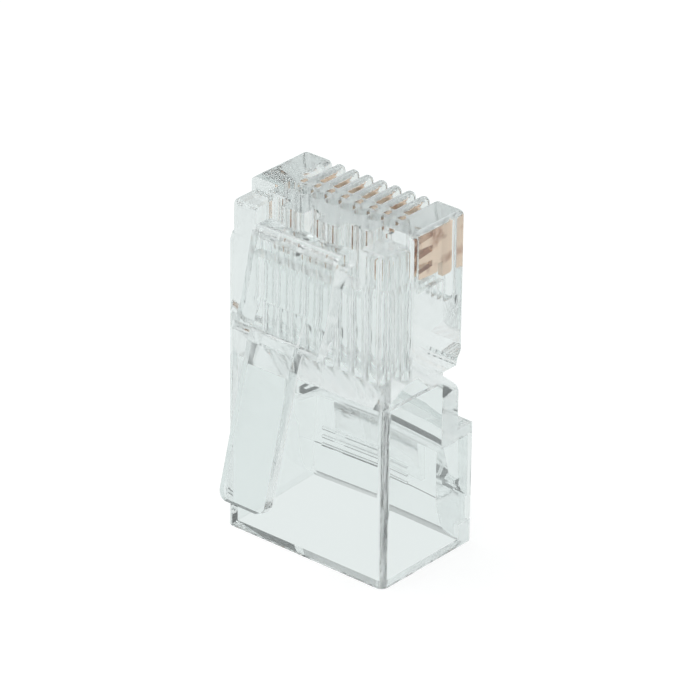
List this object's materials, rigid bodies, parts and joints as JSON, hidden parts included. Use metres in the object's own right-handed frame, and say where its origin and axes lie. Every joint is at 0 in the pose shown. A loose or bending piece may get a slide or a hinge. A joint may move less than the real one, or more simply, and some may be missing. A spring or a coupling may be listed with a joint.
{
  "type": "rj45 modular plug",
  "caption": "Clear eight-way modular plug with a flexing latch tab, blade contacts in nose slots, and a clamped cable cavity open at the rear.",
  "frame": {"origin": "centre of the cable entry on the rear face, which is the face the plug stands on", "axes": "+Z from the cable entry to the nose, +Y from the latch side to the contact side, X across the width"},
  "size_m": [0.0116, 0.0134, 0.0213],
  "materials": {
    "clear_plastic": "polished clear polycarbonate",
    "gold_plate": "gold-flashed copper alloy, satin"
  },
  "bodies": {
    "plug": {"housing": "clear_plastic", "contact_1": "gold_plate", "contact_2": "gold_plate", "contact_3": "gold_plate", "contact_4": "gold_plate", "contact_5": "gold_plate", "contact_6": "gold_plate", "contact_7": "gold_plate", "contact_8": "gold_plate"},
    "latch": {"latch": "clear_plastic"}
  },
  "joints": [
    {"name": "latch_flex", "type": "hinge", "parent": "plug", "child": "latch", "pos_m": [0, -0.0037, 0.01965], "axis": [1, 0, 0], "range_deg": [0, 14], "stiffness_Nm_per_rad": 0.02}
  ]
}
